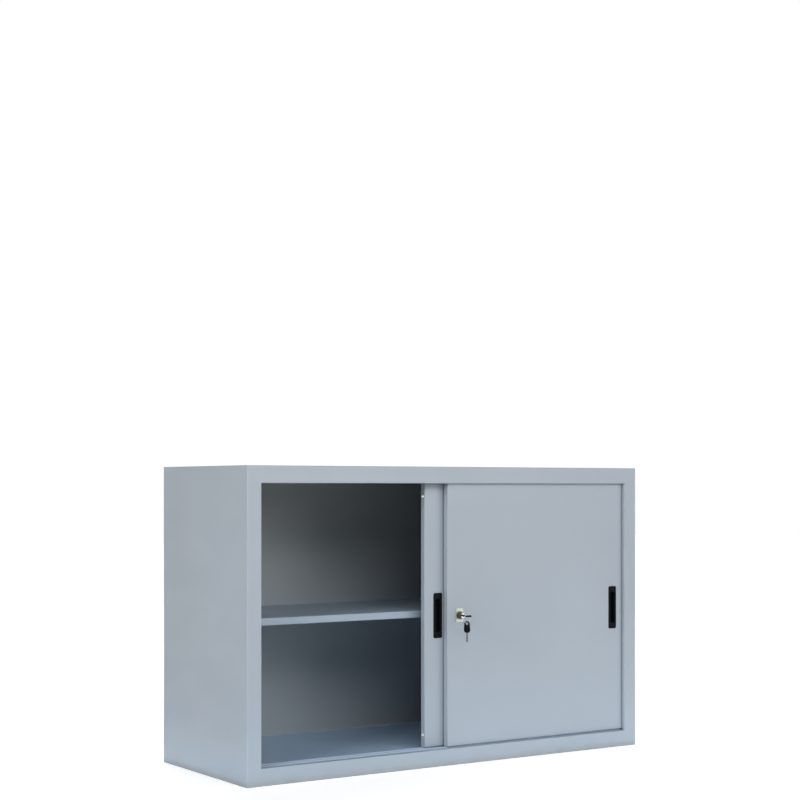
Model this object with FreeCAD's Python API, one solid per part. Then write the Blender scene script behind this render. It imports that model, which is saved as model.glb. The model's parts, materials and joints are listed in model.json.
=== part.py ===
import FreeCAD, Part
import math
import os

from FreeCAD import Vector

# Sliding door cabinet of painted sheet steel, in millimetres.
# The pieces are drawn with x from the left face, y from the front face and z
# from the floor. save() moves them to the part's frame, whose origin is the
# centre of the base, with the doors facing -Y.

# ---------------------------------------------------------------- carcass
WIDTH = 1200.0
DEPTH = 450.0
HEIGHT = 755.0
SHEET = 0.8
BEND = 1.5  # inside radius of a fold
STILE = 39.0  # face of the folded side panel
RAIL = 42.0  # face of the folded top panel
FLOOR = 42.4  # top of the floor sheet and of the plinth
LIP = 10.0  # return behind the stiles and the top rail
FLANGE = 20.0  # inner flanges of the side, top and bottom panels
SEAM = 0.1  # hairline between a stile and a rail
BACK_FACE = 447.4  # front of the back panel

# ---------------------------------------------------------------- posts and shelf
WEB = 28.0  # inner face of a post, from the side of the cabinet
FRONT_POST = (12.0, 110.0)
REAR_POST = (400.0, 430.0)
POST_TOP = 734.5
SLOT_PITCH = 25.0
SLOT_SIZE = (3.0, 12.0)
SHELF_TOP = 388.4
SHELF_EDGE = 18.0
SHELF_FRONT = 78.0
SHELF_REAR = 446.0
SHELF_GAP = 1.0  # between the shelf and a post

# ---------------------------------------------------------------- doors
DOOR_WIDTH = 586.0
DOOR_THICK = 17.0
DOOR_BOTTOM = 46.0
DOOR_TOP = 722.0
DOOR_PITCH = 22.0  # from one door's middle plane to the other's
RIGHT_DOOR_FACE = 13.0
LEFT_DOOR_FACE = RIGHT_DOOR_FACE + DOOR_PITCH
DOOR_END = 32.5  # a closed door's outer edge, from the side of the cabinet
DOOR_OPEN = 493.5  # travel from closed to the stop in the top track
SKIN_DEPTH = 9.0  # the outer skin's returns
SKIN_GAP = 0.3  # between the skin's and the liner's returns
DOOR_BEND = 1.9  # outside radius around a door's faces
NEST = 0.05  # between the skin and the lip nested in it
RIGHT_DOOR_X = WIDTH - DOOR_END - DOOR_WIDTH  # closed
LEFT_DOOR_X = DOOR_END + DOOR_OPEN  # slid to the right, behind the other door

# ---------------------------------------------------------------- running gear
RAIL_TOP = 45.3
RAIL_HALF = 1.5
WHEEL_RUN = 8.0  # radius at the bottom of the groove
WHEEL_RIM = 9.5
WHEEL_HALF = 3.5
AXLE_Z = RAIL_TOP + WHEEL_RUN + 0.2
AXLE_R = 2.0
BORE_R = 2.05
WHEEL_INSET = 75.0  # from a door's end to its wheel, clear of the pull
GUIDE_TOP = 742.0
GUIDE_LENGTH = 50.0
GUIDE_HALF = 8.6
TRACK_TOP = 754.1
TRACK_LIP = 726.0
TRACK_HALF = 9.1  # half the clear width of a channel

# ---------------------------------------------------------------- pulls and lock
PULL_INSET = 40.0  # from the door's outer edge
PULL_Z = 377.5
PULL_FLANGE = (26.5, 114.8)
PULL_POCKET = (16.0, 85.0)
PULL_DEPTH = 12.0
PULL_PROUD = 1.2
BUMPER_R = 3.2
BUMPER_PROUD = 4.0
BUMPER_Z = (77.0, 680.0)
BUMPER_Y = 6.8  # from the door's face
LOCK_X = 618.0
LOCK_Z = 377.5
PLATE = (22.8, 35.6, 2.0)
BARREL_FRONT = -4.0
BARREL_R = (7.6, 10.3)  # at the nose and at the plate
LOCK_BODY_R = 8.0
PLUG_R = 5.5
CAM_Y = (30.4, 32.0)
STUD_X = 600.0  # with both doors closed
STUD_Z = 361.5
STUD_R = 2.2

# ---------------------------------------------------------------- keys
KEY_LENGTH = 28.8  # of the plastic head
KEY_THICK = 4.2
KEY_HALF = (8.4, 6.6)  # half widths at the shoulders and near the tip
KEY_HOLE_R = 3.7
KEY_HOLE_FROM_TIP = 5.7
BLADE = (4.2, 1.8, 24.0)
BITTING = (0.3, 0.6, 0.25, 0.5, 0.3)  # depths of the cuts in both edges of the blade
KEY_BASE_Y = -5.4
KEY_HOLE_Y = KEY_BASE_Y - KEY_LENGTH + KEY_HOLE_FROM_TIP
RING_R = 9.6
RING_WIRE = 0.8
RING_DROP = 6.3  # from the held side of the key head down to the ring's centre
KEY_SIDE_X = LOCK_X - 5.8  # the ring's middle, around the strip between hole and edge
SPARE_YAW = 27.5


# ================================================================ helpers
def box(x0, x1, y0, y1, z0, z1):
    return Part.makeBox(x1 - x0, y1 - y0, z1 - z0, Vector(x0, y0, z0))


def rod(radius, start, end):
    along = Vector(*end) - Vector(*start)
    return Part.makeCylinder(radius, along.Length, Vector(*start), along)


def cone(radius0, radius1, start, end):
    along = Vector(*end) - Vector(*start)
    return Part.makeCone(radius0, radius1, along.Length, Vector(*start), along)


def fuse(first, *others):
    return first.multiFuse(list(others)).removeSplitter()


def mirrored(shape):
    """The same piece on the other side of the cabinet."""
    return shape.mirror(Vector(WIDTH / 2, 0, 0), Vector(1, 0, 0))


def moved(shape, x, y, z):
    copy = shape.copy()
    copy.translate(Vector(x, y, z))
    return copy


def save(node, *solids):
    shape = solids[0] if len(solids) == 1 else Part.makeCompound(list(solids))
    moved(shape, -WIDTH / 2, -DEPTH / 2, 0).exportStep("parts/%s.step" % node)


def cross_recess(x, y, z, length=3.2):
    """Cuts for a cross-head driver, in a flat face at that height."""
    half, blade, deep = length / 2, 0.35, 0.9
    arms = (
        box(x - half, x + half, y - blade, y + blade, z - deep, z + deep),
        box(x - blade, x + blade, y - half, y + half, z - deep, z + deep),
    )
    return Part.makeCompound(arms)


def edges_where(shape, test):
    """The straight or curved edges whose ends and middle all pass the test."""
    found = []
    for edge in shape.Edges:
        middle = edge.valueAt((edge.FirstParameter + edge.LastParameter) / 2)
        points = [v.Point for v in edge.Vertexes] + [middle]
        if all(test(point) for point in points):
            found.append(edge)
    return found


def folded(path, plane, start, length):
    """Sheet folded along a path of middle-line points in the XY or YZ plane, drawn out along Z or X."""
    half = SHEET / 2
    middle = BEND + half
    points = [Vector(u, v, 0) for u, v in path]
    sides = ([], [])
    last = [points[0], points[0]]
    for i, point in enumerate(points):
        before = (point - points[i - 1]).normalize() if i else None
        after = (points[i + 1] - point).normalize() if i + 1 < len(points) else None
        for side, sign in ((0, 1), (1, -1)):
            if before is None:
                last[side] = point + Vector(-after.y, after.x, 0) * half * sign
                continue
            normal = Vector(-before.y, before.x, 0)
            if after is None:
                sides[side].append(Part.LineSegment(last[side], point + normal * half * sign))
                last[side] = point + normal * half * sign
                continue
            turn = 1 if before.cross(after).z > 0 else -1
            reach = middle * math.tan(before.getAngle(after) / 2)
            centre = point - before * reach + normal * middle * turn
            radius = middle - half * sign * turn
            enter = centre - normal * radius * turn
            leave = centre - Vector(-after.y, after.x, 0) * radius * turn
            apex = centre + (point - centre).normalize() * radius
            sides[side].append(Part.LineSegment(last[side], enter))
            sides[side].append(Part.Arc(enter, apex, leave))
            last[side] = leave
    first = [side[0].StartPoint for side in sides]
    outline = sides[0] + [Part.LineSegment(last[0], last[1])]
    outline += sides[1] + [Part.LineSegment(first[0], first[1])]
    edges = Part.__sortEdges__([curve.toShape() for curve in outline])
    solid = Part.Face(Part.Wire(edges)).extrude(Vector(0, 0, length))
    if plane == "YZ":
        # (u, v, along) becomes (along, u, v)
        solid.rotate(Vector(0, 0, 0), Vector(1, 1, 1), 120)
        return moved(solid, start, 0, 0)
    return moved(solid, 0, 0, start)


def pan(x0, x1, y0, y1, z0, z1, opens):
    """Shallow sheet pan. opens is +1 or -1 for the side along y that has no sheet."""
    closed_y = y0 if opens > 0 else y1
    body = box(x0, x1, y0, y1, z0, z1)
    face_edges = edges_where(body, lambda p: abs(p.y - closed_y) < 1e-6)
    body = body.makeFillet(DOOR_BEND, face_edges)
    low, high = (y0 + SHEET, y1 + 1) if opens > 0 else (y0 - 1, y1 - SHEET)
    hollow = box(x0 + SHEET, x1 - SHEET, low, high, z0 + SHEET, z1 - SHEET)
    inner_y = closed_y + opens * SHEET
    inner_edges = edges_where(hollow, lambda p: abs(p.y - inner_y) < 1e-6)
    return body.cut(hollow.makeFillet(DOOR_BEND - SHEET, inner_edges))


# ================================================================ carcass
def side_panel():
    half = SHEET / 2
    path = [
        (STILE - half, LIP),
        (STILE - half, half),
        (half, half),
        (half, DEPTH - half),
        (FLANGE, DEPTH - half),
    ]
    panel = folded(path, "XY", 0, HEIGHT)
    # the lip ends at the rails, and flat tabs carry on beside their faces
    fold = STILE - SHEET - BEND
    lips, tabs = [], []
    for low, high in ((0, FLOOR), (HEIGHT - RAIL, HEIGHT)):
        lips.append(box(fold, STILE + 1, -1, LIP + 1, low - SEAM, high + SEAM))
        tabs.append(box(fold, STILE, 0, SHEET, low, high))
    return fuse(panel.cut(Part.makeCompound(lips)), *tabs)


def folded_between_stiles(path):
    start = STILE + SEAM
    return folded(path, "YZ", start, WIDTH - 2 * start)


def with_wings(middle, low, high, flange_low):
    """Widens a top or floor sheet behind the stiles, with flanges down its sides and rear corners."""
    side = SHEET + SEAM
    inset = BEND + SHEET + SEAM  # clear of the inside of the side panel's folds
    rear = DEPTH - SHEET
    start = STILE + SEAM
    wing = box(side, start, inset, DEPTH - inset, low, high)
    front_edge = box(inset, start, side, inset, low, high)
    flange = box(side, side + SHEET, inset, DEPTH - inset, flange_low, high)
    corner = box(inset, start, rear - SHEET, rear, flange_low, high)
    extras = [wing, front_edge, flange, corner]
    return fuse(middle, *extras, *[mirrored(piece) for piece in extras])


def top_panel():
    half = SHEET / 2
    rear = DEPTH - SHEET
    path = [
        (LIP, HEIGHT - RAIL + half),
        (half, HEIGHT - RAIL + half),
        (half, HEIGHT - half),
        (rear - half, HEIGHT - half),
        (rear - half, HEIGHT - FLANGE),
    ]
    return with_wings(folded_between_stiles(path), HEIGHT - SHEET, HEIGHT, HEIGHT - FLANGE)


def bottom_panel():
    half = SHEET / 2
    rear = DEPTH - SHEET
    path = [
        (FLANGE, half),
        (half, half),
        (half, FLOOR - half),
        (rear - half, FLOOR - half),
        (rear - half, half),
        (rear - FLANGE, half),
    ]
    tray = with_wings(folded_between_stiles(path), FLOOR - SHEET, FLOOR, 0)
    # the flanges turned in at the foot make one flat ring that the cabinet stands on
    side, inset, start = SHEET + SEAM, BEND + SHEET + SEAM, STILE + SEAM
    end = box(side, side + FLANGE, inset, DEPTH - inset, 0, SHEET)
    front_corner = box(side, start, inset, FLANGE, 0, SHEET)
    rear_corner = box(side, start, rear - FLANGE, DEPTH - inset, 0, SHEET)
    feet = [end, front_corner, rear_corner]
    return fuse(tray, *feet, *[mirrored(piece) for piece in feet])


def back_panel():
    top = HEIGHT - SHEET - BEND - SEAM
    return box(2, WIDTH - 2, BACK_FACE, BACK_FACE + SHEET, FLOOR, top)


def post(front, rear):
    """Channel welded inside a side panel, with a row of slots for the shelf clips."""
    half = SHEET / 2
    weld = 12.0
    path = [
        (SHEET + half, front + weld),
        (SHEET + half, front + half),
        (WEB - half, front + half),
        (WEB - half, rear - half),
        (SHEET + half, rear - half),
        (SHEET + half, rear - weld),
    ]
    channel = folded(path, "XY", FLOOR + SEAM, POST_TOP - FLOOR - SEAM)
    wide, tall = SLOT_SIZE
    y = slot_line(front, rear)
    slots = []
    z = clip_slot_z() % SLOT_PITCH + 4 * SLOT_PITCH
    while z < POST_TOP - 2 * SLOT_PITCH:
        slots.append(box(WEB - 2, WEB + 1, y - wide / 2, y + wide / 2, z - tall / 2, z + tall / 2))
        z += SLOT_PITCH
    return channel.cut(Part.makeCompound(slots))


def slot_line(front, rear):
    return max((front + rear) / 2, rear - 15.0)


def clip_slot_z():
    return SHELF_TOP - SHELF_EDGE - 10.0


def shelf():
    x0, x1 = WEB + SHELF_GAP, WIDTH - WEB - SHELF_GAP
    y0, y1 = SHELF_FRONT, SHELF_REAR
    low = SHELF_TOP - SHELF_EDGE
    half = SHEET / 2
    hem = 12.0
    path = [
        (y0 + hem, low + half),
        (y0 + half, low + half),
        (y0 + half, SHELF_TOP - half),
        (y1 - half, SHELF_TOP - half),
        (y1 - half, low + half),
        (y1 - hem, low + half),
    ]
    tray = folded(path, "YZ", x0, x1 - x0)
    side = box(x0, x0 + SHEET, y0 + 2.5, y1 - 2.5, low, SHELF_TOP - half)
    return fuse(tray, side, mirrored(side))


def shelf_clip(y):
    """Pressed clip that hooks through a slot in a post's web and carries a corner of the shelf."""
    under = SHELF_TOP - SHELF_EDGE
    thick = 1.3
    half_wide = 7.0
    plate = box(WEB, WEB + thick, y - half_wide, y + half_wide, under - 20, under)
    tab = box(WEB, WEB + 13, y - half_wide, y + half_wide, under - thick, under)
    z = clip_slot_z()
    hook = box(WEB - 4, WEB, y - 1.2, y + 1.2, z - 5, z + 5)
    catch = box(WEB - 4, WEB - 4 + thick, y - 1.2, y + 1.2, z - 9, z + 5)
    return fuse(plate, tab, hook, catch)


# ================================================================ tracks
def floor_rail(y):
    x0, x1 = WEB + 2, WIDTH - WEB - 2
    foot = box(x0, x1, y - 3.5, y + 3.5, FLOOR, FLOOR + 0.5)
    rib = box(x0, x1, y - RAIL_HALF, y + RAIL_HALF, FLOOR, RAIL_TOP)
    rail = fuse(foot, rib)
    crest = edges_where(rail, lambda p: abs(p.z - RAIL_TOP) < 1e-6 and abs(p.y - y) > 1)
    return rail.makeFillet(1.1, [e for e in crest if e.Length > 100])


def top_track():
    """Two inverted channels side by side under the top panel."""
    x0, x1 = WEB + 1, WIDTH - WEB - 1
    walls = []
    for middle in door_middles():
        for sign in (-1, 1):
            inner = middle + sign * TRACK_HALF
            outer = inner + sign * SHEET
            walls.append(box(x0, x1, min(inner, outer), max(inner, outer), TRACK_LIP, TRACK_TOP))
    front, rear = door_middles()
    reach = TRACK_HALF + SHEET
    web = box(x0, x1, front - reach, rear + reach, TRACK_TOP - SHEET, TRACK_TOP)
    holes = []
    for x, y in track_screw_places():
        holes.append(rod(1.95, (x, y, TRACK_TOP - 2), (x, y, TRACK_TOP + 1)))
    return fuse(web, *walls).cut(Part.makeCompound(holes))


def door_middles():
    return [face + DOOR_THICK / 2 for face in (RIGHT_DOOR_FACE, LEFT_DOOR_FACE)]


def track_screw_places():
    return [(WIDTH * (i + 0.5) / 4, y) for i in range(4) for y in door_middles()]


def track_screw(x, y):
    under = TRACK_TOP - SHEET
    screw = fuse(
        cone(2.6, 3.6, (x, y, under - 2), (x, y, under)),
        rod(1.9, (x, y, under), (x, y, HEIGHT - SHEET)),
    )
    return screw.cut(cross_recess(x, y, under - 2))


def track_stop(x, y):
    """Nylon block that stops a door's guide in its channel."""
    half = TRACK_HALF - 0.1
    return box(x - 8, x + 8, y - half, y + half, TRACK_LIP + 2, TRACK_TOP - SHEET)


# ================================================================ doors
def door_slots(face, x0):
    """What is cut from both shells at the foot of a door, above each wheel."""
    middle = face + DOOR_THICK / 2
    cuts = []
    for x in wheel_places(x0):
        cuts.append(box(x - 10, x + 10, middle - 4.4, middle + 4.4, DOOR_BOTTOM - 1, DOOR_BOTTOM + 3))
        for sign in (-1, 1):
            at = (x + sign * 19, face + 4.5)
            cuts.append(rod(2.1, (*at, DOOR_BOTTOM - 1), (*at, DOOR_BOTTOM + 3)))
            cuts.append(cone(3.7, 2.0, (*at, DOOR_BOTTOM), (*at, DOOR_BOTTOM + 1.7)))
    for x in guide_places(x0):
        for sign in (-1, 1):
            at = (x + sign * 16, face + 4.5)
            cuts.append(rod(2.05, (*at, DOOR_TOP - 3), (*at, DOOR_TOP + 1)))
    return cuts


def wheel_places(x0):
    return [x0 + WHEEL_INSET, x0 + DOOR_WIDTH - WHEEL_INSET]


def guide_places(x0):
    return wheel_places(x0)


def door_skin(face, x0, pull_x, locked):
    skin = pan(x0, x0 + DOOR_WIDTH, face, face + SKIN_DEPTH, DOOR_BOTTOM, DOOR_TOP, +1)
    wide, tall = PULL_POCKET[0] / 2 + 1.9, PULL_POCKET[1] / 2 + 2.3
    cuts = door_slots(face, x0)
    cuts.append(box(pull_x - wide, pull_x + wide, face - 1, face + 2, PULL_Z - tall, PULL_Z + tall))
    if locked:
        cuts.append(rod(LOCK_BODY_R + 0.1, (LOCK_X, face - 1, LOCK_Z), (LOCK_X, face + 2, LOCK_Z)))
    return skin.cut(Part.makeCompound(cuts))


def door_liner(face, x0, locked):
    rear = face + DOOR_THICK
    front = face + SKIN_DEPTH + SKIN_GAP
    x1 = x0 + DOOR_WIDTH
    liner = pan(x0, x1, front, rear, DOOR_BOTTOM, DOOR_TOP, -1)
    inset = SHEET + NEST
    lip = box(x0 + inset, x1 - inset, face + 4, rear - SHEET, DOOR_BOTTOM + inset, DOOR_TOP - inset)
    inside = inset + SHEET
    bore = box(x0 + inside, x1 - inside, face, rear, DOOR_BOTTOM + inside, DOOR_TOP - inside)
    shell = fuse(liner, lip.cut(bore))
    cuts = door_slots(face, x0)
    if locked:
        cuts.append(rod(LOCK_BODY_R + 0.1, (LOCK_X, rear - 2, LOCK_Z), (LOCK_X, rear + 1, LOCK_Z)))
    return shell.cut(Part.makeCompound(cuts))


def pull(face, x):
    """Recessed finger pull: a flange on the door's face and a scooped pocket behind it."""
    wide, tall = PULL_FLANGE
    front = face - PULL_PROUD
    flange = box(x - wide / 2, x + wide / 2, front, face, PULL_Z - tall / 2, PULL_Z + tall / 2)
    corners = edges_where(flange, lambda p: abs(p.x - x) > wide / 2 - 1e-6)
    flange = flange.makeFillet(4.5, [e for e in corners if e.Length < 2])
    rim = edges_where(flange, lambda p: abs(p.y - front) < 1e-6)
    flange = flange.makeFillet(0.8, rim)
    half_x, half_z = PULL_POCKET[0] / 2, PULL_POCKET[1] / 2
    shell_x, shell_z = half_x + 1.6, half_z + 2.0
    cup = box(x - shell_x, x + shell_x, face, face + PULL_DEPTH + 1.4, PULL_Z - shell_z, PULL_Z + shell_z)
    back = face + PULL_DEPTH
    scoop = 16.0  # how far each end slopes in
    # one half of the pocket's outline in the YZ plane, then the same upside down
    half = [
        Vector(0, front - 1, 0),
        Vector(0, front - 1, half_z),
        Vector(0, face, half_z),
        Vector(0, back - 3.6, half_z - 4.4),
        Vector(0, back, half_z - scoop),
        Vector(0, back, 0),
    ]
    outline = []
    for sign in (1, -1):
        middle, corner, mouth, bend, floor, end = [Vector(0, p.y, p.z * sign) for p in half]
        outline.append(Part.LineSegment(middle, corner))
        outline.append(Part.LineSegment(corner, mouth))
        outline.append(Part.Arc(mouth, bend, floor))
        outline.append(Part.LineSegment(floor, end))
    wire = Part.Wire(Part.__sortEdges__([curve.toShape() for curve in outline]))
    pocket = Part.Face(wire).extrude(Vector(2 * half_x, 0, 0))
    return fuse(flange, cup).cut(moved(pocket, x - half_x, 0, PULL_Z))


def bumper(face, edge_x, outward, z):
    """Soft round button on a door's outer edge."""
    y = face + BUMPER_Y
    tip = edge_x + outward * BUMPER_PROUD
    button = rod(BUMPER_R, (edge_x, y, z), (tip, y, z))
    rim = edges_where(button, lambda p: abs(p.x - tip) < 1e-6)
    return button.makeFillet(1.0, rim)


def guide(face, x):
    """Nylon block on a door's head that runs inside the top track."""
    y = face + DOOR_THICK / 2
    long = GUIDE_LENGTH / 2
    block = box(x - long, x + long, y - GUIDE_HALF, y + GUIDE_HALF, DOOR_TOP, GUIDE_TOP)
    upright = edges_where(block, lambda p: abs(abs(p.x - x) - long) < 1e-6)
    block = block.makeFillet(5.0, [e for e in upright if abs(e.Vertexes[0].Z - e.Vertexes[1].Z) > 1])
    wells = []
    for sign in (-1, 1):
        at = (x + sign * 16, face + 4.5)
        wells.append(rod(2.05, (*at, DOOR_TOP - 1), (*at, GUIDE_TOP)))
        wells.append(rod(3.9, (*at, DOOR_TOP + 6), (*at, GUIDE_TOP + 1)))
    return block.cut(Part.makeCompound(wells))


def guide_screws(face, x):
    screws = []
    for sign in (-1, 1):
        at = (x + sign * 16, face + 4.5)
        head = rod(3.6, (*at, DOOR_TOP + 6), (*at, DOOR_TOP + 8.2))
        shank = rod(1.95, (*at, DOOR_TOP - 7), (*at, DOOR_TOP + 6))
        screws.append(fuse(head, shank).cut(cross_recess(*at, DOOR_TOP + 8.2)))
    return screws


def roller_bracket(face, x):
    """Fork over a wheel, screwed to the inside of a door's foot."""
    y = face + DOOR_THICK / 2
    base = DOOR_BOTTOM + 2 * SHEET + 2 * NEST
    top = AXLE_Z + 13
    cheek = 1.2
    inner = 4.3
    outer = inner + cheek
    fork = box(x - 13, x + 13, y - outer, y + outer, base, top)
    fork = fork.cut(box(x - 14, x + 14, y - inner, y + inner, base - 1, top - cheek))
    feet = []
    for sign in (-1, 1):
        ends = sorted((x + sign * 13, x + sign * 24))
        foot = box(ends[0], ends[1], y - outer, y + outer, base, base + cheek)
        at = (x + sign * 19, face + 4.5)
        feet.append(foot.cut(rod(2.0, (*at, base - 1), (*at, base + 3))))
    bracket = fuse(fork, *feet)
    return bracket.cut(rod(AXLE_R + 0.02, (x, y - 8, AXLE_Z), (x, y + 8, AXLE_Z)))


def bracket_screws(face, x):
    screws = []
    for sign in (-1, 1):
        at = (x + sign * 19, face + 4.5)
        head = cone(3.5, 1.9, (*at, DOOR_BOTTOM + 0.1), (*at, DOOR_BOTTOM + 1.7))
        shank = rod(1.9, (*at, DOOR_BOTTOM + 1.7), (*at, DOOR_BOTTOM + 7))
        screws.append(fuse(head, shank).cut(cross_recess(*at, DOOR_BOTTOM + 0.1)))
    return screws


def axle(face, x):
    y = face + DOOR_THICK / 2
    pin = rod(AXLE_R, (x, y - 6.6, AXLE_Z), (x, y + 6.6, AXLE_Z))
    heads = []
    for sign in (-1, 1):
        heads.append(rod(AXLE_R + 1, (x, y + sign * 5.6, AXLE_Z), (x, y + sign * 6.8, AXLE_Z)))
    return fuse(pin, *heads)


def wheel(face, x):
    """Nylon wheel with a groove that straddles the floor rail."""
    y = face + DOOR_THICK / 2
    groove = RAIL_HALF + 0.35
    half = WHEEL_HALF
    profile = [
        (BORE_R, -half),
        (WHEEL_RIM - 0.5, -half),
        (WHEEL_RIM, -half + 0.5),
        (WHEEL_RIM, -groove - 0.3),
        (WHEEL_RUN, -groove),
        (WHEEL_RUN, groove),
        (WHEEL_RIM, groove + 0.3),
        (WHEEL_RIM, half - 0.5),
        (WHEEL_RIM - 0.5, half),
        (BORE_R, half),
    ]
    corners = [Vector(x + r, y + v, AXLE_Z) for r, v in profile]
    face_of_wheel = Part.Face(Part.makePolygon(corners + corners[:1]))
    return face_of_wheel.revolve(Vector(x, y, AXLE_Z), Vector(0, 1, 0), 360)


# ================================================================ lock
def at_lock(y):
    return (LOCK_X, y, LOCK_Z)


def lock_plate():
    half_x, half_z, thick = PLATE[0] / 2, PLATE[1] / 2, PLATE[2]
    face = RIGHT_DOOR_FACE
    plate = box(LOCK_X - half_x, LOCK_X + half_x, face - thick, face, LOCK_Z - half_z, LOCK_Z + half_z)
    corners = edges_where(plate, lambda p: abs(p.x - LOCK_X) > half_x - 1e-6)
    plate = plate.makeFillet(1.5, [e for e in corners if abs(e.Length - thick) < 1e-3])
    rim = edges_where(plate, lambda p: abs(p.y - face + thick) < 1e-6)
    plate = plate.makeFillet(0.6, rim)
    return plate.cut(rod(LOCK_BODY_R + 0.05, at_lock(face - thick - 1), at_lock(face + 1)))


def lock_body():
    """Barrel: a tapered nose in front of the plate and a threaded stem through the door."""
    nose, base = BARREL_R
    plate_front = RIGHT_DOOR_FACE - PLATE[2]
    collar = rod(base, at_lock(plate_front - 2), at_lock(plate_front))
    taper = cone(nose, base - 1.3, at_lock(BARREL_FRONT), at_lock(plate_front - 2))
    stem = rod(LOCK_BODY_R, at_lock(plate_front), at_lock(RIGHT_DOOR_FACE + DOOR_THICK + 0.2))
    body = fuse(collar, taper, stem)
    edge = edges_where(body, lambda p: abs(p.y - BARREL_FRONT) < 1e-6)
    body = body.makeFillet(0.8, edge)
    return body.cut(rod(PLUG_R + 0.05, at_lock(BARREL_FRONT - 1), at_lock(40)))


def lock_nut():
    inside = RIGHT_DOOR_FACE + SHEET
    across = 11.0
    corners = [
        Vector(LOCK_X + across * math.cos(a), inside, LOCK_Z + across * math.sin(a))
        for a in (math.radians(60 * i) for i in range(6))
    ]
    nut = Part.Face(Part.makePolygon(corners + corners[:1])).extrude(Vector(0, 3.5, 0))
    return nut.cut(rod(LOCK_BODY_R + 0.05, at_lock(inside - 1), at_lock(inside + 5)))


def blade_box(margin, start, end):
    wide, thick = BLADE[0] / 2 + margin, BLADE[1] / 2 + margin
    return box(LOCK_X - wide, LOCK_X + wide, start, end, LOCK_Z - thick, LOCK_Z + thick)


def lock_plug():
    plug = rod(PLUG_R, at_lock(BARREL_FRONT + 0.3), at_lock(CAM_Y[0]))
    square = box(LOCK_X - 3, LOCK_X + 3, CAM_Y[0], CAM_Y[1], LOCK_Z - 3, LOCK_Z + 3)
    key_way = blade_box(0.1, BARREL_FRONT - 1, KEY_BASE_Y + BLADE[2] + 0.5)
    return fuse(plug, square).cut(key_way)


def lock_cam():
    """Hooked plate behind the lock. Its arc-shaped mouth takes the strike stud as it turns down."""
    front, rear = CAM_Y
    dx, dz = STUD_X - LOCK_X, STUD_Z - LOCK_Z
    reach = math.hypot(dx, dz)
    stud_angle = math.degrees(math.atan2(dz, dx))
    mouth = STUD_R + 0.4

    def sector(inner, outer, start, end):
        ring = rod(outer, at_lock(front), at_lock(rear))
        if inner:
            ring = ring.cut(rod(inner, at_lock(front - 1), at_lock(rear + 1)))
        corners = [Vector(LOCK_X, front - 1, LOCK_Z)]
        for i in range(5):
            a = math.radians(start + (end - start) * i / 4)
            corners.append(Vector(LOCK_X + 99 * math.cos(a), front - 1, LOCK_Z + 99 * math.sin(a)))
        wedge = Part.Face(Part.makePolygon(corners + corners[:1])).extrude(Vector(0, 4, 0))
        return ring.common(wedge)

    hub = rod(9.0, at_lock(front), at_lock(rear))
    arm = sector(0, reach + 6.5, stud_angle - 24, stud_angle + 11)
    slot = sector(reach - mouth, reach + mouth, stud_angle - 7, stud_angle + 30)
    under = sector(9.5, reach - mouth - 4, stud_angle - 9, stud_angle + 30)
    cam = fuse(hub, arm).cut(Part.makeCompound([slot, under]))
    square = box(LOCK_X - 3, LOCK_X + 3, front - 1, rear + 1, LOCK_Z - 3, LOCK_Z + 3)
    cam = cam.cut(square)
    # drawn locked; at rest it is turned back by a quarter, clear of the stud's path
    cam.rotate(Vector(LOCK_X, 0, LOCK_Z), Vector(0, -1, 0), -90)
    return cam


def cam_screw():
    rear = CAM_Y[1] + 1.6
    recess = cross_recess(0, 0, 0, 4.4)
    recess.rotate(Vector(0, 0, 0), Vector(1, 0, 0), 90)
    return rod(4.2, at_lock(CAM_Y[1]), at_lock(rear)).cut(moved(recess, *at_lock(rear)))


def strike_stud():
    """Headless stud on the rear door, for the cam's mouth. It moves with that door."""
    x = STUD_X + DOOR_OPEN
    face = LEFT_DOOR_FACE
    stud = rod(STUD_R, (x, RIGHT_DOOR_FACE + DOOR_THICK + 0.7, STUD_Z), (x, face, STUD_Z))
    foot = rod(4.5, (x, face - 0.8, STUD_Z), (x, face, STUD_Z))
    return fuse(stud, foot)


# ================================================================ keys
def key_head_drawn():
    """Plastic key head lying flat, with its base at the origin and its tip towards -Y."""
    shoulder, tip = KEY_HALF
    length = KEY_LENGTH
    half = [
        (0, 5.2),
        (-2.5, shoulder - 1.5),
        (-6.0, shoulder),
        (-11.0, shoulder),
        (-length + 3.5, tip + 0.4),
        (-length, tip - 3.0),
    ]
    right = [Vector(x, y, -KEY_THICK / 2) for y, x in half]
    left = [Vector(-p.x, p.y, p.z) for p in reversed(right)]
    outline = Part.Face(Part.makePolygon(right + left + right[:1]))
    head = outline.extrude(Vector(0, 0, KEY_THICK))
    upright = [e for e in head.Edges if abs(e.Vertexes[0].Z - e.Vertexes[1].Z) > 1]
    head = head.makeFillet(1.8, upright)
    hole_y = -length + KEY_HOLE_FROM_TIP
    head = head.cut(rod(KEY_HOLE_R, (0, hole_y, -5), (0, hole_y, 5)))
    flats = edges_where(head, lambda p: abs(abs(p.z) - KEY_THICK / 2) < 1e-6)
    head = head.makeFillet(0.9, flats)
    return head.cut(key_blade_drawn())


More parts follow.
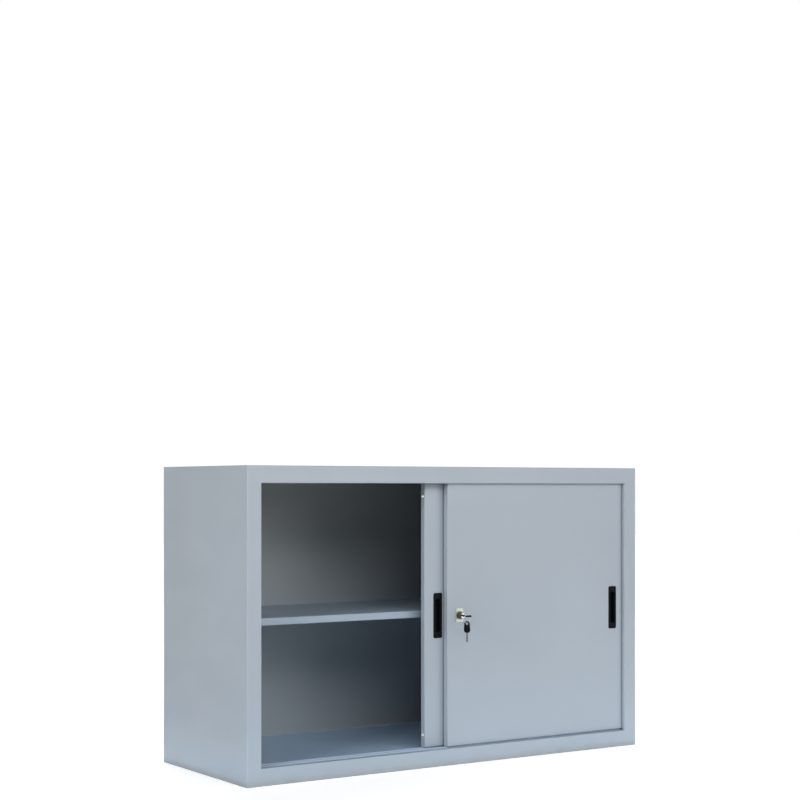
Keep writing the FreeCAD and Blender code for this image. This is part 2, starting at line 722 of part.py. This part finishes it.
def key_blade_drawn():
    """Steel blade and the tang moulded into the head, in the same place as key_head_drawn."""
    wide, thick, long = BLADE
    blade = box(-wide / 2, wide / 2, -8, long, -thick / 2, thick / 2)
    tip = edges_where(blade, lambda p: abs(p.y - long) < 1e-6 and abs(p.x) > 1)
    blade = blade.makeChamfer(1.7, [e for e in tip if abs(e.Length - thick) < 1e-3])
    cuts = [
        box(-wide, wide, -0.01, long + 1, 0.45, 2).cut(box(-1.4, 9, -1, long + 2, 0, 3)),
        box(-wide, wide, -0.01, long + 1, -2, -0.45).cut(box(-9, 1.4, -1, long + 2, -3, 0)),
    ]
    notch = 1.5
    for i, depth in enumerate(BITTING):
        for sign in (-1, 1):
            vee = box(-notch, notch, -notch, notch, -thick, thick)
            vee.rotate(Vector(0, 0, 0), Vector(0, 0, 1), 45)
            out = wide / 2 - depth + notch * math.sqrt(2)
            cuts.append(moved(vee, sign * out, 5.0 + 3.4 * i, 0))
    return blade.cut(Part.makeCompound(cuts))


def in_lock(shape):
    return moved(shape, LOCK_X, KEY_BASE_Y, LOCK_Z)


def ring_centre():
    return Vector(KEY_SIDE_X, KEY_HOLE_Y, LOCK_Z - RING_DROP)


def key_ring():
    return Part.makeTorus(RING_R, RING_WIRE, ring_centre(), Vector(0, 1, 0))


def hung(shape):
    """A key hung by the hole in its head from the bottom of the ring."""
    hole_y = -KEY_LENGTH + KEY_HOLE_FROM_TIP
    copy = moved(shape, 0, -hole_y, 0)
    # head up and flat side facing along x, then turned a little about the vertical
    copy.rotate(Vector(0, 0, 0), Vector(1, 0, 0), -90)
    copy.rotate(Vector(0, 0, 0), Vector(0, 0, 1), 90 + SPARE_YAW)
    centre = ring_centre()
    top_of_hole = centre.z - RING_R + RING_WIRE + 0.6
    return moved(copy, centre.x, centre.y, top_of_hole - KEY_HOLE_R)


# ================================================================ the model
def save_carcass():
    panel = side_panel()
    save("left_side_panel", panel)
    save("right_side_panel", mirrored(panel))
    save("top_panel", top_panel())
    save("bottom_panel", bottom_panel())
    save("back_panel", back_panel())
    for place, (front, rear) in (("front", FRONT_POST), ("rear", REAR_POST)):
        channel = post(front, rear)
        save("left_%s_post" % place, channel)
        save("right_%s_post" % place, mirrored(channel))
    save("shelf", shelf())
    clips = [shelf_clip(slot_line(*ends)) for ends in (FRONT_POST, REAR_POST)]
    save("shelf_clips", *clips, *[mirrored(clip) for clip in clips])
    save("floor_rails", *[floor_rail(y) for y in door_middles()])
    save("top_track", top_track())
    save("top_track_screws", *[track_screw(*at) for at in track_screw_places()])
    reach = GUIDE_LENGTH / 2 + 8.5
    front_y, rear_y = door_middles()
    front_stop = track_stop(guide_places(RIGHT_DOOR_X)[0] - DOOR_OPEN - reach, front_y)
    rear_stop = track_stop(guide_places(LEFT_DOOR_X)[1] + reach, rear_y)
    save("track_stops", front_stop, rear_stop)


def save_door(name, face, x0, outward):
    """outward is -1 for the door that closes against the left side and +1 for the other."""
    has_lock = outward > 0
    edge = x0 + DOOR_WIDTH if outward > 0 else x0
    pull_x = edge - outward * PULL_INSET
    save(name + "_skin", door_skin(face, x0, pull_x, has_lock))
    save(name + "_liner", door_liner(face, x0, has_lock))
    save(name + "_pull", pull(face, pull_x))
    save(name + "_bumpers", *[bumper(face, edge, outward, z) for z in BUMPER_Z])
    save(name + "_guides", *[guide(face, x) for x in guide_places(x0)])
    save(name + "_guide_screws", *[s for x in guide_places(x0) for s in guide_screws(face, x)])
    save(name + "_roller_brackets", *[roller_bracket(face, x) for x in wheel_places(x0)])
    save(name + "_bracket_screws", *[s for x in wheel_places(x0) for s in bracket_screws(face, x)])
    save(name + "_axles", *[axle(face, x) for x in wheel_places(x0)])
    for side, x in zip(("left", "right"), wheel_places(x0)):
        save("%s_%s_wheel" % (name, side), wheel(face, x))


def save_lock_and_keys():
    save("lock_plate", lock_plate())
    save("lock_body", lock_body())
    save("lock_nut", lock_nut())
    save("lock_plug", lock_plug())
    save("lock_cam", lock_cam())
    save("cam_screw", cam_screw())
    save("strike_stud", strike_stud())
    save("key_head", in_lock(key_head_drawn()))
    save("key_blade", in_lock(key_blade_drawn()))
    save("key_ring", key_ring())
    save("spare_key_head", hung(key_head_drawn()))
    save("spare_key_blade", hung(key_blade_drawn()))


os.makedirs("parts", exist_ok=True)
save_carcass()
save_door("left_door", LEFT_DOOR_FACE, LEFT_DOOR_X, -1)
save_door("right_door", RIGHT_DOOR_FACE, RIGHT_DOOR_X, +1)
save_lock_and_keys()
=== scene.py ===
import json
import math

import bmesh
import bpy
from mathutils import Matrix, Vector


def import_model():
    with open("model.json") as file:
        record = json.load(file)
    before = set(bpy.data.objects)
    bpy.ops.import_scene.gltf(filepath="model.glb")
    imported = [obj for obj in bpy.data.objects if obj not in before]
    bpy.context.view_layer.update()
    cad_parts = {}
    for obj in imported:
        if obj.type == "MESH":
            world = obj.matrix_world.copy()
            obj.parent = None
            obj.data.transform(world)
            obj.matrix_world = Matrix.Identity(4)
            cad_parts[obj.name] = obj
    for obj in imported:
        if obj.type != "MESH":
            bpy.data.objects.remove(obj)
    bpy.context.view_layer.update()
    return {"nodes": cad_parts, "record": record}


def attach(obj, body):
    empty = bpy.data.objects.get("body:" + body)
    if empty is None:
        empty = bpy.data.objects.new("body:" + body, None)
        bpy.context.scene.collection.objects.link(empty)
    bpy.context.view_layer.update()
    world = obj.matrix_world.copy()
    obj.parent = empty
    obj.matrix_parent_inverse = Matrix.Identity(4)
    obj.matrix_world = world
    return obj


# Looks of the sliding door cabinet, in metres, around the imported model.

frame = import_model()
NODES = frame["nodes"]

# ---------------------------------------------------------------- view and light
IMAGE_SIZE = 800
HORIZON_ROW = 487.15  # row of the horizon, of IMAGE_SIZE
CAMERA_AT = (-2.447, -3.6625, 0.7035)
CAMERA_TURN = math.radians(-33.5)
LENS = 74.9
SENSOR = 36.0
AMBIENT = (0.03, 0.03, 0.03)
BACKGROUND = (1.0, 1.0, 1.0)
FLOOR_COLOUR = (0.90, 0.90, 0.90)
FLOOR_LIFT = 0.50  # of white, which the camera and mirrors see on top of the lit floor
FLOOR_LIT = (1.2, 3.2)  # metres from the cabinet over which the lift grows to full white
FLOOR_SIZE = 30.0
WHITE = (1.0, 1.0, 1.0)
BLUISH = (0.58, 0.80, 1.00)
LAMP_AIM = (-0.2, 0.0, 0.35)
LAMP_DISTANCE = 5.0
# name, azimuth and elevation in degrees (0 is straight in front, 90 on the right), size in metres, watts
SOFTBOXES = (
    ("key", -15, 29, (3.4, 1.6), 71.5),
    ("fill", 27, 18, (3.4, 1.6), 63.0),
    ("left", -69, 20, (1.6, 1.6), 91.0),
    ("right", 97, 12, (1.6, 1.6), 90.0),
    ("behind", 160, 30, (3.0, 1.6), 110.0),
)
CARD_HEIGHT = 0.004  # of the bounce cards over the floor
# name, x and y of the middle, size, watts
BOUNCE_CARDS = (
    ("front_card", -0.2, -0.37, (2.6, 0.26), 1.1),
    ("left_card", -0.68, -0.05, (0.14, 1.0), 0.25),
)

# ---------------------------------------------------------------- colours, linear
PAINT = (0.400, 0.452, 0.508)
# Painted shade: a darker, greyer copy of PAINT for the inside of the back sheet and the posts.
PAINT_BACK_SHADED = (0.362, 0.402, 0.428)
# Painted shade: darker and greyer still, towards the top of the inside.
PAINT_BACK_SHADED_TOP = (0.345, 0.366, 0.362)
# Painted shade and bluish light: a darker, bluer copy of PAINT for the shelf.
PAINT_SHELF_SHADED = (0.335, 0.408, 0.492)
# Painted bluish light: a bluer copy of PAINT for the top of the floor sheet inside.
PAINT_FLOOR_BLUE_LIGHT = (0.400, 0.545, 0.700)
# Painted bluish light: the rails' carcass paint made lighter and bluer.
PAINT_RAILS_BLUE_LIGHT = (0.430, 0.525, 0.660)
BLACK = (0.0060, 0.0065, 0.0085)
NYLON = (0.78, 0.77, 0.73)
ZINC = (0.56, 0.57, 0.58)
NICKEL = (0.41, 0.44, 0.385)
CHROME = (0.80, 0.80, 0.81)
NOSE = (0.42, 0.42, 0.40)  # of the lock's barrel
RING = (0.46, 0.47, 0.51)
BARREL_SIDE_SHADE = (0.125, 0.122, 0.085)  # painted shade down the barrel's side
KEY_STEEL = (0.15, 0.165, 0.18)
STAIN = (0.50, 0.49, 0.46)

# ---------------------------------------------------------------- places on the cabinet, metres
LOCK_AXIS = (0.018, 0.3775)  # x and z
NOSE_RIM = (0.0064, 0.0074)  # radii between which the barrel's bright nose turns to the painted shade of its side
REAR_FACE = 0.2240
SPOT_LINE = 0.590  # x of the spot welds in the rear flanges
SPOT_PITCH = 0.075
SPOT_EDGE = (0.0018, 0.0030)  # radii between which a spot weld's dimple ends
TOP_SHADE_SPAN = (0.35, 0.70)  # z over which the inside paint turns to its painted shade at the top
INNER_EDGE = (-0.219, -0.213)  # y over which the floor's painted bluish light starts, behind the front rail
FLOOR_SHEET = (0.0416, 0.0422)  # z, from the floor sheet's underside to just under its top
BACK_SHEET = (0.2226, 0.2230)  # y, between the back sheet's two faces
FRONT_FACE = -0.225
CORNER_SEAM = (0.5609, 0.5610)  # between the rails and the stiles
RAIL_HEIGHTS = ((0.0, 0.0424), (0.7130, 0.7550))
MERGE_WITHIN = 1e-6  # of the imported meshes' doubled corners
WELD_DEPTH = 0.0007
WELD_END = 0.0002  # that a corner weld stops short of the rail's edges
WELD_SINK = 0.00002  # mean depth of a weld under the front face
WELD_WAVE = 1.7  # radians from one row of a weld to the next
WELD_ROWS = 12

COLOUR_A, COLOUR_B = 6, 7  # the inputs of a mix node that take colours
MIXED_COLOUR = 2  # its output


# ================================================================ finishes
class Finish:
    """A material being made: its principled shader, and short calls for what the finishes share."""

    def __init__(self, name, roughness, metallic=0.0):
        self.material = bpy.data.materials.new(name)
        self.material.use_nodes = True
        self.tree = self.material.node_tree
        self.shader = self.tree.nodes["Principled BSDF"]
        self.shader.inputs["Roughness"].default_value = roughness
        self.shader.inputs["Metallic"].default_value = metallic
        self.place = self.add("ShaderNodeTexCoord").outputs["Object"]
        self.normal = None

    def add(self, kind, **settings):
        node = self.tree.nodes.new(kind)
        for key, value in settings.items():
            setattr(node, key, value)
        return node

    def join(self, value, socket):
        if isinstance(value, bpy.types.NodeSocket):
            self.tree.links.new(value, socket)
        else:
            socket.default_value = value

    def noise(self, cells_per_metre, detail=2.0, stretch=(1, 1, 1)):
        mapping = self.add("ShaderNodeMapping")
        self.join(self.place, mapping.inputs["Vector"])
        mapping.inputs["Scale"].default_value = stretch
        node = self.add("ShaderNodeTexNoise")
        self.join(mapping.outputs["Vector"], node.inputs["Vector"])
        node.inputs["Scale"].default_value = cells_per_metre
        node.inputs["Detail"].default_value = detail
        return node.outputs["Fac"]

    def cells(self, cells_per_metre):
        node = self.add("ShaderNodeTexVoronoi")
        self.join(self.place, node.inputs["Vector"])
        node.inputs["Scale"].default_value = cells_per_metre
        return node.outputs["Color"]

    def spread(self, value, low, high, start=0.3, end=0.7):
        """Maps start..end to low..high, smoothly."""
        node = self.add("ShaderNodeMapRange", interpolation_type="SMOOTHSTEP")
        self.join(value, node.inputs["Value"])
        for socket, number in (("From Min", start), ("From Max", end), ("To Min", low), ("To Max", high)):
            node.inputs[socket].default_value = number
        return node.outputs["Result"]

    def math(self, operation, a, b):
        node = self.add("ShaderNodeMath", operation=operation)
        self.join(a, node.inputs[0])
        self.join(b, node.inputs[1])
        return node.outputs["Value"]

    def mix(self, share, a, b):
        node = self.add("ShaderNodeMix", data_type="RGBA")
        self.join(share, node.inputs[0])
        self.join(a if isinstance(a, bpy.types.NodeSocket) else (*a, 1), node.inputs[COLOUR_A])
        self.join(b if isinstance(b, bpy.types.NodeSocket) else (*b, 1), node.inputs[COLOUR_B])
        return node.outputs[MIXED_COLOUR]

    def bump(self, height, depth):
        """Adds relief of that depth, in metres, on top of what is there."""
        node = self.add("ShaderNodeBump")
        node.inputs["Distance"].default_value = depth
        self.join(height, node.inputs["Height"])
        if self.normal:
            self.join(self.normal, node.inputs["Normal"])
        self.normal = node.outputs["Normal"]

    def edges(self, radius):
        """0 on flat faces and up to 1 on edges that are sharper than the radius."""
        bevel = self.add("ShaderNodeBevel", samples=4)
        bevel.inputs["Radius"].default_value = radius
        geometry = self.add("ShaderNodeNewGeometry")
        dot = self.add("ShaderNodeVectorMath", operation="DOT_PRODUCT")
        self.join(bevel.outputs["Normal"], dot.inputs[0])
        self.join(geometry.outputs["Normal"], dot.inputs[1])
        return self.spread(dot.outputs["Value"], 1.0, 0.0, 0.75, 0.995)

    def height(self, low, high):
        """1 below low and 0 above high, in metres over the foot."""
        return self.spread(self.coordinates()[2], 1.0, 0.0, low, high)

    def coordinates(self):
        node = self.add("ShaderNodeSeparateXYZ")
        self.join(self.place, node.inputs["Vector"])
        return node.outputs["X"], node.outputs["Y"], node.outputs["Z"]

    def reach(self, a, b):
        """Length of the diagonal of a and b."""
        squares = [self.math("MULTIPLY", side, side) for side in (a, b)]
        return self.math("SQRT", self.math("ADD", *squares), 0.0)

    def done(self, colour, roughness=None):
        self.join(colour, self.shader.inputs["Base Color"])
        if roughness is not None:
            self.join(roughness, self.shader.inputs["Roughness"])
        if self.normal:
            self.join(self.normal, self.shader.inputs["Normal"])
        return self.material


def tinted(colour, factor):
    """The colour, lighter or darker."""
    return tuple(min(1.0, channel * factor) for channel in colour)


def powder_coat(name, colour, scuffs_and_highlight=0.5, painted_light_mask=None, inner_painted_light=None, top_painted_shade=None):
    """Baked powder coat: orange peel, faint clouding, handling marks near the foot, and edges lightened
    partly by rubbing and partly by a painted highlight.

    Where the mask gives 1 the coat takes its inner colour, painted light and shade that stand in for how
    the inside is lit, and towards the top a painted shade where a top colour is given.
    """
    f = Finish(name, 0.45)
    clouds = f.noise(2.2, 3.0)
    base = f.mix(f.spread(clouds, 0.0, 1.0), tinted(colour, 0.965), tinted(colour, 1.03))
    # Inside, the paint is swapped for a copy that paints in the light and shade there.
    if painted_light_mask:
        # Painted shade: towards the top the inner colour turns darker and greyer.
        inner = f.mix(f.height(*TOP_SHADE_SPAN), top_painted_shade, inner_painted_light) if top_painted_shade else inner_painted_light
        base = f.mix(painted_light_mask(f), base, inner)
    speck = f.spread(f.noise(900.0, 1.0), 0.0, 0.35, 0.62, 0.80)
    base = f.mix(speck, base, tinted(colour, 0.86))
    # Lighter on sharp edges: partly rubbed paint, partly a painted highlight along the folds.
    rubbed_and_highlit = f.math("MULTIPLY", f.edges(0.0016), f.spread(f.noise(38.0, 4.0), 0.0, scuffs_and_highlight, 0.45, 0.75))
    base = f.mix(rubbed_and_highlit, base, tinted(colour, 1.25))
    dust = f.math("MULTIPLY", f.height(0.0, 0.035), f.spread(f.noise(22.0, 5.0), 0.0, 0.4, 0.42, 0.72))
    base = f.mix(dust, base, tinted(colour, 0.80))
    smears = f.spread(f.noise(7.0, 5.0, (1, 1, 2.5)), 0.40, 0.50)
    f.bump(f.noise(5.0, 1.0), 0.00045)
    f.bump(f.noise(420.0, 2.0), 0.00005)
    f.bump(f.noise(1500.0, 1.0), 0.000012)
    f.bump(spot_welds(f), 0.0003)
    return f.done(base, smears)


def painted_floor_light(f):
    """1 on the upper side of the floor sheet, behind the front rail, where bluish light is painted."""
    y, z = f.coordinates()[1:]
    behind_rail = f.spread(y, 0.0, 1.0, *INNER_EDGE)
    on_top = f.spread(z, 0.0, 1.0, *FLOOR_SHEET)
    return f.math("MULTIPLY", behind_rail, on_top)


def painted_back_shade(f):
    """1 up to the front of the back sheet, where the paint carries painted shade, and 0 on its rear."""
    return f.spread(f.coordinates()[1], 1.0, 0.0, *BACK_SHEET)


def spot_welds(f):
    """Shallow dimples down the rear flanges, 0 in each dimple and 1 elsewhere."""
    x, y, z = f.coordinates()
    across = f.math("SUBTRACT", f.math("ABSOLUTE", x, 0.0), SPOT_LINE)
    along = f.math("SUBTRACT", f.math("MODULO", z, SPOT_PITCH), SPOT_PITCH / 2)
    dimple = f.spread(f.reach(across, along), 1.0, 0.0, *SPOT_EDGE)
    behind = f.math("GREATER_THAN", y, REAR_FACE)
    return f.math("SUBTRACT", 1.0, f.math("MULTIPLY", dimple, behind))


def moulded_plastic(name, colour, roughness, translucent=0.0):
    """Injection-moulded plastic with a fine spark-eroded grain."""
    f = Finish(name, roughness)
    f.shader.inputs["Specular IOR Level"].default_value = 0.05
    f.shader.inputs["Subsurface Weight"].default_value = translucent
    f.shader.inputs["Subsurface Scale"].default_value = 0.002
    patches = f.spread(f.noise(60.0, 3.0), 0.0, 1.0)
    base = f.mix(patches, tinted(colour, 0.85), tinted(colour, 1.15))
    worn = f.math("MULTIPLY", f.edges(0.0009), f.spread(f.noise(160.0, 3.0), 0.0, 0.5, 0.4, 0.7))
    base = f.mix(worn, base, tuple(0.85 * channel + 0.012 for channel in colour))
    f.bump(f.noise(2600.0, 2.0), 0.00002)
    return f.done(base, f.spread(f.noise(90.0, 4.0), roughness - 0.07, roughness + 0.08))


def plated(name, colour, roughness, grain=(1, 1, 1), scratches=0.00001):
    """Plated or bright metal, brushed across the grain's stretched axis."""
    f = Finish(name, roughness, metallic=1.0)
    clouds = f.spread(f.noise(45.0, 3.0), 0.0, 1.0)
    base = f.mix(clouds, tinted(colour, 0.93), tinted(colour, 1.05))
    lines = f.noise(900.0, 3.0, grain)
    f.bump(lines, scratches)
    return f.done(base, f.spread(lines, roughness - 0.06, roughness + 0.08))


def lock_barrel(name):
    """Chrome that is bright on the front, with painted shade down the barrel's side."""
    f = Finish(name, 0.22, metallic=1.0)
    x, _, z = f.coordinates()
    from_axis = f.reach(f.math("SUBTRACT", x, LOCK_AXIS[0]), f.math("SUBTRACT", z, LOCK_AXIS[1]))
    patchy = f.math("ADD", from_axis, f.spread(f.noise(400.0, 2.0), -0.0002, 0.0002))
    # Painted shade: the barrel's side beyond the nose rim is dark.
    base = f.mix(f.spread(patchy, 0.0, 1.0, *NOSE_RIM), NOSE, BARREL_SIDE_SHADE)
    f.bump(f.noise(1200.0, 3.0, (1, 0.05, 1)), 0.000006)
    return f.done(base, f.spread(patchy, 0.14, 0.38, *NOSE_RIM))


def zinc_plate(name):
    """Zinc-plated pressed steel, with the faint flowers of the plating."""
    f = Finish(name, 0.42, metallic=1.0)
    flowers = f.cells(130.0)
    separate = f.add("ShaderNodeSeparateColor")
    f.join(flowers, separate.inputs["Color"])
    base = f.mix(separate.outputs[0], tinted(ZINC, 0.86), tinted(ZINC, 1.08))
    stain = f.spread(f.noise(30.0, 4.0), 0.0, 0.35, 0.5, 0.8)
    base = f.mix(stain, base, STAIN)
    f.bump(f.noise(700.0, 2.0), 0.00002)
    return f.done(base, f.spread(separate.outputs[1], 0.34, 0.50, 0.0, 1.0))


FINISHES = {
    "carcass_paint": powder_coat("carcass_paint", PAINT),
    "door_paint": powder_coat("door_paint", PAINT, 0.35),
    # Inside the back sheet the paint is a darker copy of PAINT: painted shade, darker still towards the
    # top.
    "interior_paint": powder_coat("interior_paint", PAINT, 0.2, painted_back_shade, PAINT_BACK_SHADED, PAINT_BACK_SHADED_TOP),
    "galvanised": zinc_plate("galvanised"),
    "black_plastic": moulded_plastic("black_plastic", BLACK, 0.42),
    "white_plastic": moulded_plastic("white_plastic", NYLON, 0.38, 0.15),
    "nickel": plated("nickel", NICKEL, 0.30, (1, 1, 0.03)),
    "chrome": plated("chrome", CHROME, 0.14, scratches=0.000003),
    "key_steel": plated("key_steel", KEY_STEEL, 0.26, (1, 0.05, 1), 0.000002),
}
NODE_FINISHES = {
    "lock_body": lock_barrel("lock_barrel"),
    "key_ring": plated("ring_chrome", RING, 0.24, scratches=0.000003),
    # The shelf's paint is a darker, bluer copy: painted shade and bluish light.
    "shelf": powder_coat("shelf_paint_shaded", PAINT_SHELF_SHADED, 0.2),
    # The floor sheet's top inside is painted with bluish light.
    "bottom_panel": powder_coat("floor_paint_blue_light", PAINT, 0.5, painted_floor_light, PAINT_FLOOR_BLUE_LIGHT),
    # The rails' paint is lighter and bluer: painted bluish light.
    "floor_rails": powder_coat("rail_paint_blue_light", PAINT_RAILS_BLUE_LIGHT, 0.2),
}


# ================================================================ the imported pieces
def dress_nodes():
    """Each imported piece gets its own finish, or its slot's, and its doubled corners are merged."""
    for piece in frame["record"]["subparts"]:
        node = NODES[piece["node"]]
        node.data.materials.clear()
        finish = NODE_FINISHES.get(piece["node"], FINISHES[piece["material_slot"]])
        node.data.materials.append(finish)
        weld = node.modifiers.new("weld", "WELD")
        weld.merge_threshold = MERGE_WITHIN


def weld_ring(mesh, side, z, front):
    """The four corners of a weld at one height."""
    rear = FRONT_FACE + WELD_DEPTH
    inner, outer = (side * x for x in CORNER_SEAM)
    corners = ((inner, front), (inner, rear), (outer, rear), (outer, front))
    return [mesh.verts.new((x, y, z)) for x, y in corners]


def corner_weld(mesh, side, low, high):
    """One weld over the height of a rail, with a slightly wavy face."""
    rings = []
    for i in range(WELD_ROWS + 1):
        z = low + WELD_END + (high - low - 2 * WELD_END) * i / WELD_ROWS
        sunk = WELD_SINK * (1 + math.sin(WELD_WAVE * i + side))
        rings.append(weld_ring(mesh, side, z, FRONT_FACE + sunk))
    for lower, upper in zip(rings, rings[1:]):
        for k in range(4):
            mesh.faces.new((lower[k], lower[(k + 1) % 4], upper[(k + 1) % 4], upper[k]))
    mesh.faces.new(rings[0])
    mesh.faces.new(rings[-1])


def corner_welds():
    """Ground-down welds and paint that close the hairlines between the stiles and the rails."""
    mesh = bmesh.new()
    for side in (-1, 1):
        for low, high in RAIL_HEIGHTS:
            corner_weld(mesh, side, low, high)
    bmesh.ops.recalc_face_normals(mesh, faces=mesh.faces)
    data = bpy.data.meshes.new("corner_welds")
    mesh.to_mesh(data)
    mesh.free()
    piece = bpy.data.objects.new("corner_welds", data)
    bpy.context.scene.collection.objects.link(piece)
    data.materials.append(FINISHES["carcass_paint"])
    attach(piece, "cabinet")


# ================================================================ stage
def floor():
    """A pale floor that is lit near the cabinet, shows its shadow, and fades to the white background."""
    bpy.ops.mesh.primitive_plane_add(size=FLOOR_SIZE, location=(0, 0, 0))
    plane = bpy.context.object
    plane.name = "floor"
    f = Finish("floor", 0.8)
    f.shader.inputs["Specular IOR Level"].default_value = 0.2
    f.shader.inputs["Emission Color"].default_value = (*WHITE, 1)
    away = f.add("ShaderNodeVectorMath", operation="LENGTH")
    f.join(f.place, away.inputs[0])
    lift = f.spread(away.outputs["Value"], FLOOR_LIFT, 1.0, *FLOOR_LIT)
    f.join(f.math("MULTIPLY", looking(f.tree), lift), f.shader.inputs["Emission Strength"])
    plane.data.materials.append(f.done((*FLOOR_COLOUR, 1)))


def looking(tree):
    """1 for the camera's rays and those that metal and glass pass on, 0 for light on the object."""
    path = tree.nodes.new("ShaderNodeLightPath")
    value = path.outputs["Is Camera Ray"]
    for ray in ("Is Glossy Ray", "Is Transmission Ray"):
        either = tree.nodes.new("ShaderNodeMath")
        either.operation = "MAXIMUM"
        tree.links.new(value, either.inputs[0])
        tree.links.new(path.outputs[ray], either.inputs[1])
        value = either.outputs["Value"]
    return value


def world():
    """White where the camera or a mirror looks, and dim as a light."""
    bpy.context.scene.world = bpy.data.worlds.new("studio")
    bpy.context.scene.world.use_nodes = True
    tree = bpy.context.scene.world.node_tree
    tree.nodes.clear()
    colour = tree.nodes.new("ShaderNodeMix")
    colour.data_type = "RGBA"
    colour.inputs[COLOUR_A].default_value = (*AMBIENT, 1)
    colour.inputs[COLOUR_B].default_value = (*BACKGROUND, 1)
    tree.links.new(looking(tree), colour.inputs[0])
    background = tree.nodes.new("ShaderNodeBackground")
    tree.links.new(colour.outputs[MIXED_COLOUR], background.inputs["Color"])
    output = tree.nodes.new("ShaderNodeOutputWorld")
    tree.links.new(background.outputs["Background"], output.inputs["Surface"])


def area_lamp(name, size, power, colour):
    data = bpy.data.lights.new(name, "AREA")
    data.shape = "RECTANGLE"
    data.size, data.size_y = size
    data.energy = power
    data.color = colour
    lamp_object = bpy.data.objects.new(name, data)
    lamp_object.visible_camera = False
    bpy.context.scene.collection.objects.link(lamp_object)
    return lamp_object


def softbox(name, azimuth, elevation, size, power):
    """A lamp around the cabinet, turned towards it."""
    turn, rise = math.radians(azimuth), math.radians(elevation)
    away = Vector((math.cos(rise) * math.sin(turn), -math.cos(rise) * math.cos(turn), math.sin(rise)))
    box = area_lamp(name, size, power, WHITE)
    box.location = Vector(LAMP_AIM) + LAMP_DISTANCE * away
    box.rotation_euler = (-away).to_track_quat("-Z", "Y").to_euler()


def bounce_card(name, x, y, size, power):
    """A faint lamp that lies on the floor and lights the foot, as a card there would."""
    card = area_lamp(name, size, power, BLUISH)
    card.location = (x, y, CARD_HEIGHT)
    card.rotation_euler = (math.pi, 0, 0)


def camera():
    data = bpy.data.cameras.new("camera")
    data.lens = LENS
    data.sensor_width = SENSOR
    data.sensor_fit = "HORIZONTAL"
    data.shift_y = HORIZON_ROW / IMAGE_SIZE - 0.5
    view = bpy.data.objects.new("camera", data)
    view.location = CAMERA_AT
    view.rotation_euler = (math.pi / 2, 0, CAMERA_TURN)
    bpy.context.scene.collection.objects.link(view)
    bpy.context.scene.camera = view


dress_nodes()
corner_welds()
floor()
world()
for settings in SOFTBOXES:
    softbox(*settings)
for settings in BOUNCE_CARDS:
    bounce_card(*settings)
camera()
bpy.context.scene.view_settings.view_transform = "Standard"
